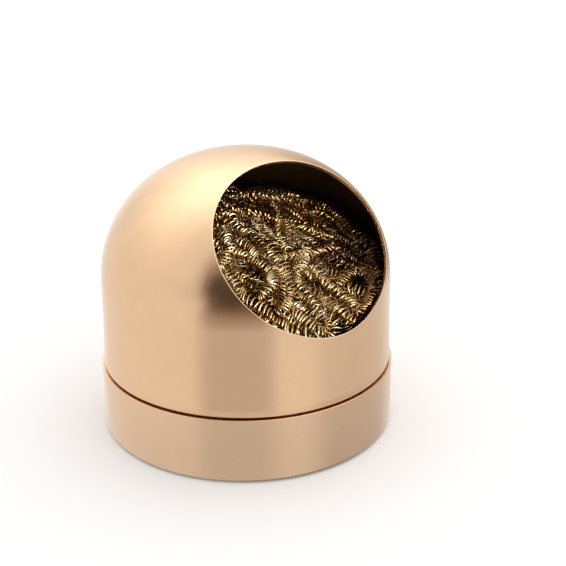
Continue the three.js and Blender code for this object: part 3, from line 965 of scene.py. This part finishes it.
def helix(rng, line, radius, pitch, width, lay, wobble, aside, phase, side, per_turn=12):
    """One curled ribbon along a centre line. Gives corner points and tones.

    lay slants the loops, wobble and aside shift the centre, phase and side are start angles.
    """
    centre, arc = line
    length = arc[-1]
    count = int(length / pitch * per_turn)

    def vary(every, amount=1.0):
        return amount * smooth_noise(rng, length, every, count)

    # the pitch breathes along the curl: bunched here, drawn out there
    squeeze = np.exp(vary(amount=0.45, every=5.0) + vary(amount=0.35, every=1.0))
    place = np.cumsum(squeeze)
    place = (place - place[0]) / (place[-1] - place[0]) * length
    theta = phase + np.arange(count) / per_turn * 2 * math.pi
    centre, tangent, normal, binormal = (
        np.stack([np.interp(place, arc, values[:, i]) for i in range(3)], -1)
        for values in (centre, *frames(centre))
    )
    centre = centre + normal * vary(amount=wobble, every=7.0)[:, None]
    centre = centre + binormal * vary(amount=wobble, every=7.0)[:, None]
    # strands of one turning wander round each other
    drift = side + vary(amount=2.6, every=16.0)
    beside = normal * np.cos(drift)[:, None] + binormal * np.sin(drift)[:, None]
    centre = centre + aside * beside
    radius = radius * (1 + vary(amount=0.22, every=3.0) + vary(amount=0.16, every=1.0))
    # a small jitter of the centre
    jitter = normal * vary(every=1.1)[:, None] + binormal * vary(every=1.1)[:, None]
    centre = centre + 0.24 * jitter
    # each loop is flattened to an ellipse, whose axes turn a little
    flat = 0.76 + vary(amount=0.20, every=4.0)
    turn = vary(amount=0.9, every=7.0)
    cosine, sine = np.cos(theta), np.sin(theta)
    across = cosine * np.cos(turn) * flat - sine * np.sin(turn)
    along = cosine * np.sin(turn) * flat + sine * np.cos(turn)
    radial = normal * across[:, None] + binormal * along[:, None]
    uneven = 0.7 + vary(amount=0.7, every=3.0) + vary(amount=0.45, every=1.1)
    slant = lay * uneven
    way = rng.choice([-1.0, 1.0]) * math.pi / 2 + vary(amount=1.1, every=6.0)
    points = centre + radial * radius[:, None]
    points = points + tangent * (radius * slant * np.cos(theta - way))[:, None]
    width = width * (1 + vary(amount=0.25, every=2.0))
    twist = vary(amount=0.55, every=2.5) + vary(amount=0.35, every=0.9)
    points = hold(points)
    corners = ribbon(points, radial, width, twist)
    tone = 0.5 + vary(amount=0.32, every=8.0) + vary(amount=0.20, every=1.2)
    # painted shade: darker at the front right, and along the back except at its right end,
    # where shadow falls
    x, y = points[:, 0], points[:, 1]
    tone = tone - 0.70 * (climb(x, 8, 10) * climb(-y, 2, 10))
    tone = tone - 0.45 * climb(y, 14, 5) * climb(-x, -20, 5)
    return corners, np.clip(tone, 0, 1)


def strip_faces(count, offset):
    """The four long sides and two ends of a ribbon."""
    i = np.arange(count - 1) * 4
    sides = []
    for j in range(4):
        after = (j + 1) % 4
        sides.append(np.stack([i + j, i + after, i + 4 + after, i + 4 + j], -1))
    last = (count - 1) * 4
    ends = np.array([[3, 2, 1, 0], [last, last + 1, last + 2, last + 3]])
    return np.vstack(sides + [ends]) + offset


def make_strips(name, strips):
    verts, quads, tones, offset = [], [], [], 0
    for corners, tone in strips:
        verts.append(corners.reshape(-1, 3))
        quads.append(strip_faces(len(corners), offset))
        tones.append(np.repeat(tone, 4))
        offset += len(corners) * 4
    verts = np.vstack(verts)
    # painted shade: darker towards the front, and most in the shadow at the front right
    x, y = verts[:, 0], verts[:, 1]
    front_right_shade = climb(x, 9, 10) * climb(-y, 2, 10)
    soot = 0.17 * climb(-y, -10, 16) + 0.13 * climb(-y, 8, 10) + 0.28 * front_right_shade
    piece = build(
        name, verts, np.vstack(quads), [BRASS],
        attributes={"tone": np.concatenate(tones), "soot": soot},
    )
    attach(piece, "wool")
    return piece


# the strands of each kind of layer: radius, pitch, width, lay, wobble, aside
STRANDS = {
    "top": [
        (1.70, 1.04, 0.45, 0.5, 0.5, 0.7),
        (1.50, 1.14, 0.42, 0.7, 0.7, 1.0),
        (1.60, 1.25, 0.43, 0.7, 0.6, 0.9),
    ],
    "second": [
        (1.65, 1.05, 0.46, 0.5, 0.5, 0.7),
        (1.45, 1.1, 0.42, 0.7, 0.7, 1.0),
        (1.6, 1.3, 0.42, 0.7, 0.7, 1.0),
    ],
    "third": [(2.1, 1.35, 0.44, 0.6, 0.5, 0.5), (1.8, 1.5, 0.42, 0.6, 0.6, 0.9)],
    "cup": [(2.3, 1.35, 0.44, 0.6, 0.5, 0.4), (2.0, 1.5, 0.42, 0.6, 0.6, 0.9)],
}


def make_layer(index, points, kind):
    rng = np.random.default_rng(1000 + index)
    line = dense(points)
    strips = [
        helix(
            rng, line, *strand, phase=rng.uniform(0, 6.28),
            side=i * 1.57 + rng.uniform(-0.5, 0.5), per_turn=12 if kind == "top" else 10,
        )
        for i, strand in enumerate(STRANDS[kind])
    ]
    piece = make_strips(f"wool_{index + 1:02d}", strips)
    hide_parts(f"wool_curl_{index + 1:02d}")


for index, (points, kind) in enumerate(LAYERS):
    make_layer(index, points, kind)


# =====================================================================================
# loose curls and wires on top of the layers
# =====================================================================================
def heap_top(x, y):
    """Height of the heap's surface, a little fuller towards the wall on the right (+X)."""
    return top_layer(x, y) + 0.05 * max(0.0, x)


def wander(rng, x, y, heading, length, lift):
    """A loose curl's centre line, lying on the heap, kept off the wall."""
    step, bend = 2.2, 0.08
    points = []
    rate = rng.normal(0, bend)
    for _ in range(int(length / step) + 1):
        z = heap_top(x, y) + lift
        # the height and the limit depend on each other, so they are settled in turns
        for _ in range(3):
            limit = float(inner_r(z)) - 2.4
            rho = math.hypot(x, y)
            if rho > limit:
                x, y = x * limit / rho, y * limit / rho
            z = heap_top(x, y) + lift
        points.append((x, y, z))
        rate = 0.75 * rate + rng.normal(0, bend)
        heading += rate * step * 0.5
        x += step * math.cos(heading)
        y += step * math.sin(heading)
    return np.array(points)


# x, y, heading in degrees, length
LOOSE_STARTS = [
    (-20, 12, -40, 34), (-24, -2, -75, 26), (-12, 20, -20, 30), (-4, 12, -100, 38),
    (8, 20, -60, 30), (20, 14, -110, 34), (25, 2, -95, 26), (-16, -6, 20, 26),
    (2, -4, -70, 24), (12, -8, -140, 26), (-8, -16, -10, 26), (10, -20, 20, 22),
    (-14, 2, -120, 24), (18, -10, -80, 20), (-2, 24, 200, 28), (-18, 18, 35, 26),
]


def make_loose():
    """Loose lengths, two strands each, that lie over the rows in all directions."""
    strips = []
    for i, (x, y, degrees, length) in enumerate(LOOSE_STARTS):
        rng = np.random.default_rng(3000 + i)
        lift = rng.uniform(0.5, 1.5)
        line = dense(wander(rng, x, y, math.radians(degrees), length, lift))
        strips += [
            helix(
                rng, line, radius=rng.uniform(1.35, 1.65), pitch=rng.uniform(0.95, 1.15),
                width=rng.uniform(0.40, 0.48), lay=0.6, wobble=0.6, aside=0.7,
                phase=rng.uniform(0, 6.28), side=rng.uniform(0, 6.28),
            )
            for _ in range(2)
        ]
    make_strips("wool_loose", strips)


# start and end angle in degrees from +X, lift above the heap, inset from the wall
EDGE_ARCS = [
    (-72, 60, 0.2, 2.3), (40, 150, 0.4, 2.3), (130, 250, 0.0, 2.3),
    (-60, 30, 1.4, 2.0), (20, 120, 1.2, 2.2), (-50, 40, -2.4, 2.2),
]
# radius, pitch, width
EDGE_STRANDS = [(1.5, 1.0, 0.46), (1.4, 1.1, 0.42), (1.6, 1.3, 0.42)]


def make_edge():
    """Lengths that follow the wall, round both sides and the back."""
    strips = []
    for i, (first, last, lift, inset) in enumerate(EDGE_ARCS):
        rng = np.random.default_rng(4000 + i)
        points = []
        for degrees in np.arange(first, last, 4.0):
            angle = math.radians(degrees)
            z = 44.0
            for _ in range(6):
                rho = float(inner_r(z)) - inset - 0.8 * abs(math.sin(degrees * 0.11 + i))
                x, y = rho * math.cos(angle), rho * math.sin(angle)
                z = heap_top(x, y) + lift + 0.5 * math.sin(degrees * 0.17 + 2 * i)
            points.append((x, y, z))
        line = dense(np.array(points))
        strips += [
            helix(
                rng, line, *strand, lay=0.7, wobble=0.6, aside=0.9,
                phase=rng.uniform(0, 6.28), side=rng.uniform(0, 6.28),
            )
            for strand in EDGE_STRANDS
        ]
    make_strips("wool_edge", strips)


make_loose()
make_edge()

# x, y, radius of the spiral
WIRES = [
    (-2.5, -22.0, 2.4), (-1.5, -27.5, 1.9), (3.5, -26.0, 2.0), (25.0, -13.5, 3.2),
    (26.0, 9.5, 2.6), (20.0, 15.0, 2.8), (12.0, 20.5, 2.2), (-6.0, -6.0, 2.0),
    (14.0, -5.0, 2.2), (8.0, 6.0, 2.3), (-14.0, 4.0, 2.2), (9.0, -16.0, 2.0),
]


def wire_rings(rng, x, y, size, sides):
    """Rings of points along one tilted spiral of wire."""
    turns = rng.uniform(1.1, 2.6)
    count = int(turns * 30)
    angle = np.linspace(0, turns * 2 * math.pi, count) + rng.uniform(0, 6.28)
    ripple = 0.12 * np.sin(1.7 * angle + rng.uniform(0, 6))
    radius = size * (1 + ripple - 0.05 * angle / math.pi)
    tilt = rng.uniform(0.15, 0.7)
    way = rng.uniform(0, 2 * math.pi)
    level = np.array([math.cos(way), math.sin(way), 0.0])
    steep = np.array(
        [-math.sin(way) * math.cos(tilt), math.cos(way) * math.cos(tilt), math.sin(tilt)]
    )
    axis = np.cross(level, steep)
    loop = np.cos(angle)[:, None] * level + np.sin(angle)[:, None] * steep
    points = np.array([x, y, 0.0]) + radius[:, None] * loop
    points = points + np.linspace(-0.8, 0.8, count)[:, None] * axis
    points[:, 2] += heap_top(x, y) + 2.3 + 0.5 * size * math.sin(tilt)
    points = hold(points)
    tangent = unit(np.gradient(points, axis=0))
    out = square_to(axis, tangent)
    side = np.cross(tangent, out)
    angle = around(sides)[None, :, None]
    wire_r = rng.uniform(0.06, 0.085)
    section = np.cos(angle) * out[:, None] + np.sin(angle) * side[:, None]
    return points[:, None] + wire_r * section


def make_wires():
    """Hair-fine spirals that lie on top."""
    rng = np.random.default_rng(5000)
    sides = 6
    verts, quads, tris, offset = [], [], [], 0
    for x, y, size in WIRES:
        rings = wire_rings(rng, x, y, size, sides)
        verts.append(rings.reshape(-1, 3))
        quads.append(grid_quads(len(rings), sides, offset=offset))
        last = offset + (len(rings) - 1) * sides
        for i in range(1, sides - 1):
            tris.append((offset, offset + i + 1, offset + i))
            tris.append((last, last + i, last + i + 1))
        offset += len(rings) * sides
    verts = np.vstack(verts)
    piece = build(
        "wool_fine_wires", verts, np.vstack(quads), [WIRE], tris=tris,
        attributes={"tone": np.full(len(verts), 0.5)},
    )
    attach(piece, "wool")


make_wires()


# =====================================================================================
# floor, studio and camera
# =====================================================================================
def make_floor():
    count, half_size = 24, 2600.0
    x, y = np.meshgrid(*[np.linspace(-half_size, half_size, count)] * 2)
    verts = np.stack([x.ravel(), y.ravel(), np.zeros(count * count)], -1)
    paper, tree, surface, coord = material("floor_paper")
    shade = tree.noise(coord, scale=3.0)
    base = tree.mix(shade, (0.925, 0.925, 0.925), (0.95, 0.95, 0.95))
    tree.put(surface["Base Color"], base)
    tree.put(surface["Roughness"], 0.9)
    tree.put(surface["Specular IOR Level"], 0.0)
    piece = build("floor", verts, grid_quads(count, count, closed_cols=False), [paper])
    piece.visible_glossy = False


make_floor()


def reflected_studio(tree):
    """What the metal reflects: the brightness and colour of the studio in each direction.

    turn is in degrees round Z: 0 towards the camera, 90 to its right, 180 beyond the object.
    height is in degrees above the horizon. Also gives the direction's z.
    """
    smooth, falling, band = tree.smooth, tree.falling, tree.band
    plus, times = tree.plus, tree.times

    def brightened(light, *parts, by):
        return plus(light, times(*parts, by))

    def dimmed(light, *parts, by):
        return times(light, tree.invert(times(*parts, by)))

    rotate = tree.new("ShaderNodeVectorRotate", rotation_type="Z_AXIS")
    rotate.inputs["Angle"].default_value = math.radians(-CAM_AZ)
    tree.put(rotate.inputs["Vector"], tree.new("ShaderNodeTexCoord").outputs["Generated"])
    x, y, z = tree.split(rotate.outputs["Vector"])
    to_degrees = 180 / math.pi
    signed = times(tree.math("ARCTAN2", x, times(y, -1.0)), to_degrees)
    height = times(tree.math("ARCSINE", z), to_degrees)
    turn = plus(signed, times(tree.math("LESS_THAN", signed, 0.0), 360.0))

    # the walls and floor of a white studio
    light = plus(0.92, 0.0)
    # a broad softbox overhead: full on the right and beyond, fading round the left
    gain = times(smooth(turn, span=(320, 210)), 0.92)
    near_top = smooth(height, span=(60, 88))
    gain = plus(times(gain, tree.invert(near_top)), times(near_top, 0.62))
    light = brightened(light, gain, by=smooth(height, span=(6, 64)))
    # the bright sweep beyond the object
    light = brightened(light, *band(turn, rise=(182, 200), fall=(194, 216)), by=0.16)
    # a second softbox high on the right
    key = band(turn, rise=(14, 40), fall=(118, 150))
    light = brightened(light, *key, smooth(height, span=(18, 36)), by=0.25)
    # the unlit room in front; its left side leans by up to 4 degrees near the horizon
    low = falling(height, span=(0, 12))
    lean = times(low, smooth(height, span=(-12, -2)), 4.0)
    leaning = tree.math("SUBTRACT", turn, lean)
    wide = plus(smooth(leaning, span=(319, 331)), falling(turn, span=(12, 26)), clamp=True)
    tall = plus(
        times(smooth(height, span=(-24.9, -21.8)), 0.5),
        times(smooth(height, span=(-20, 4)), 0.5),
    )
    room = times(wide, times(tall, falling(height, span=(20, 58))))
    light = dimmed(light, room, by=0.92)
    # and on the far right
    wide = times(*band(turn, rise=(62, 95), fall=(148, 186)))
    tall = times(*band(height, rise=(-22, -13), fall=(12, 32)))
    far_room = times(wide, tall)
    light = dimmed(light, far_room, by=0.85)
    # their faint reflections in the floor
    below = falling(height, span=(-25, -19))
    strip = plus(smooth(turn, span=(318, 324)), falling(turn, span=(18, 26)), clamp=True)
    depth = plus(0.12, times(smooth(height, span=(-28, -24.5)), 0.05))
    light = dimmed(light, strip, below, by=depth)
    strip = times(*band(turn, rise=(44, 72), fall=(124, 160)))
    depth = plus(0.22, times(falling(height, span=(-34, -23)), 0.15))
    light = dimmed(light, strip, below, by=depth)
    # a faint smudge left of the dark room
    smudge = band(turn, rise=(280, 316), fall=(316, 330))
    light = dimmed(light, *smudge, *band(height, rise=(-4, 6), fall=(8, 20)), by=0.14)
    # the floor falls off towards the object's foot
    light = dimmed(light, falling(height, span=(-37, -27)), by=0.30)
    # the object's own shadow falls to the right
    shadow = band(turn, rise=(25, 75), fall=(185, 215))
    light = dimmed(light, falling(height, span=(-50, -35)), *shadow, by=0.78)

    # the dark parts are warm
    warm = tree.math("MAXIMUM", room, far_room)
    colour = tree.mix(times(warm, warm), (1.0, 0.995, 0.985), (1.0, 0.67, 0.47))
    return light, colour, z


def make_world():
    world = bpy.data.worlds.new("studio")
    bpy.context.scene.world = world
    world.use_nodes = True
    world.node_tree.nodes.clear()
    tree = Tree(world)
    light, colour, z = reflected_studio(tree)
    glossy = tree.new("ShaderNodeBackground")
    tree.put(glossy.inputs["Color"], colour)
    tree.put(glossy.inputs["Strength"], light)
    # what falls on the floor and on dull things: even light, stronger from above
    dull = tree.new("ShaderNodeBackground")
    tree.put(dull.inputs["Strength"], tree.ramp(z, span=(-0.1, 0.9), to=(0.85, 1.42)))
    # what the camera sees: plain white
    seen = tree.new("ShaderNodeBackground")
    seen.inputs["Color"].default_value = (1, 1, 1, 1)
    seen.inputs["Strength"].default_value = 1.0
    path = tree.new("ShaderNodeLightPath").outputs

    def switch(factor, first, second):
        node = tree.new("ShaderNodeMixShader")
        for socket, value in zip(node.inputs, (factor, first, second)):
            tree.put(socket, value)
        return node.outputs[0]

    lit = switch(path["Is Diffuse Ray"], glossy.outputs[0], dull.outputs[0])
    shown = switch(path["Is Camera Ray"], lit, seen.outputs[0])
    tree.put(tree.new("ShaderNodeOutputWorld").inputs["Surface"], shown)


make_world()


def direction(azimuth, elevation):
    """Unit vector from angles in degrees: azimuth from -Y towards +X, elevation upwards."""
    azimuth, elevation = math.radians(azimuth), math.radians(elevation)
    level = math.cos(elevation)
    return Vector(
        (math.sin(azimuth) * level, -math.cos(azimuth) * level, math.sin(elevation))
    )


def make_wool_light():
    """A small softbox in front of the mouth, linked to the wool alone."""
    aim = (0.0, -10 * MM, 40 * MM)
    distance = 500 * MM
    data = bpy.data.lights.new("wool_softbox", "AREA")
    data.shape = "RECTANGLE"
    data.size = 300 * MM
    data.size_y = 280 * MM
    data.energy = 4.35
    data.color = (1.0, 0.995, 0.985)
    lamp = bpy.data.objects.new("wool_softbox", data)
    bpy.context.scene.collection.objects.link(lamp)
    away = direction(azimuth=CAM_AZ + 31, elevation=16)
    lamp.location = Vector(aim) + away * distance
    lamp.rotation_euler = away.to_track_quat("Z", "Y").to_euler()
    receivers = bpy.data.collections.new("wool_softbox_receivers")
    for piece in bpy.context.scene.objects:
        if piece.name.startswith("wool_") and piece.type == "MESH":
            receivers.objects.link(piece)
    lamp.light_linking.receiver_collection = receivers


make_wool_light()

CAM_ELEVATION = 22.475
CAM_ROLL = -0.254
CAM_ORBIT_Z = 31.5                      # height of the point the camera is placed round
CAM_DISTANCE = 274.505
CAM_AIM_RIGHT, CAM_AIM_UP = 8.785, 1.96  # the aim's offset from that point


def make_camera():
    camera = bpy.data.objects.new("camera", bpy.data.cameras.new("camera"))
    bpy.context.scene.collection.objects.link(camera)

    def level_axes(look):
        """Right and up for a view along look without roll."""
        right = look.cross(Vector((0, 0, 1))).normalized()
        return right, right.cross(look)

    back = direction(CAM_AZ, CAM_ELEVATION)
    middle = Vector((0, 0, CAM_ORBIT_Z * MM))
    place = middle + back * (CAM_DISTANCE * MM)
    right, up = level_axes(-back)
    target = middle + right * (CAM_AIM_RIGHT * MM) + up * (CAM_AIM_UP * MM)
    look = (target - place).normalized()
    right, up = level_axes(look)
    roll = math.radians(CAM_ROLL)
    right, up = (
        math.cos(roll) * right + math.sin(roll) * up,
        -math.sin(roll) * right + math.cos(roll) * up,
    )
    rows = [(right[i], up[i], -look[i], place[i]) for i in range(3)]
    camera.matrix_world = Matrix((*rows, (0, 0, 0, 1)))
    camera.data.sensor_width = 36.0
    camera.data.lens = 72.9361272
    camera.data.clip_start = 0.01
    camera.data.clip_end = 20
    bpy.context.scene.camera = camera


make_camera()
bpy.context.scene.view_settings.view_transform = "Standard"
bpy.context.scene.view_settings.look = "None"
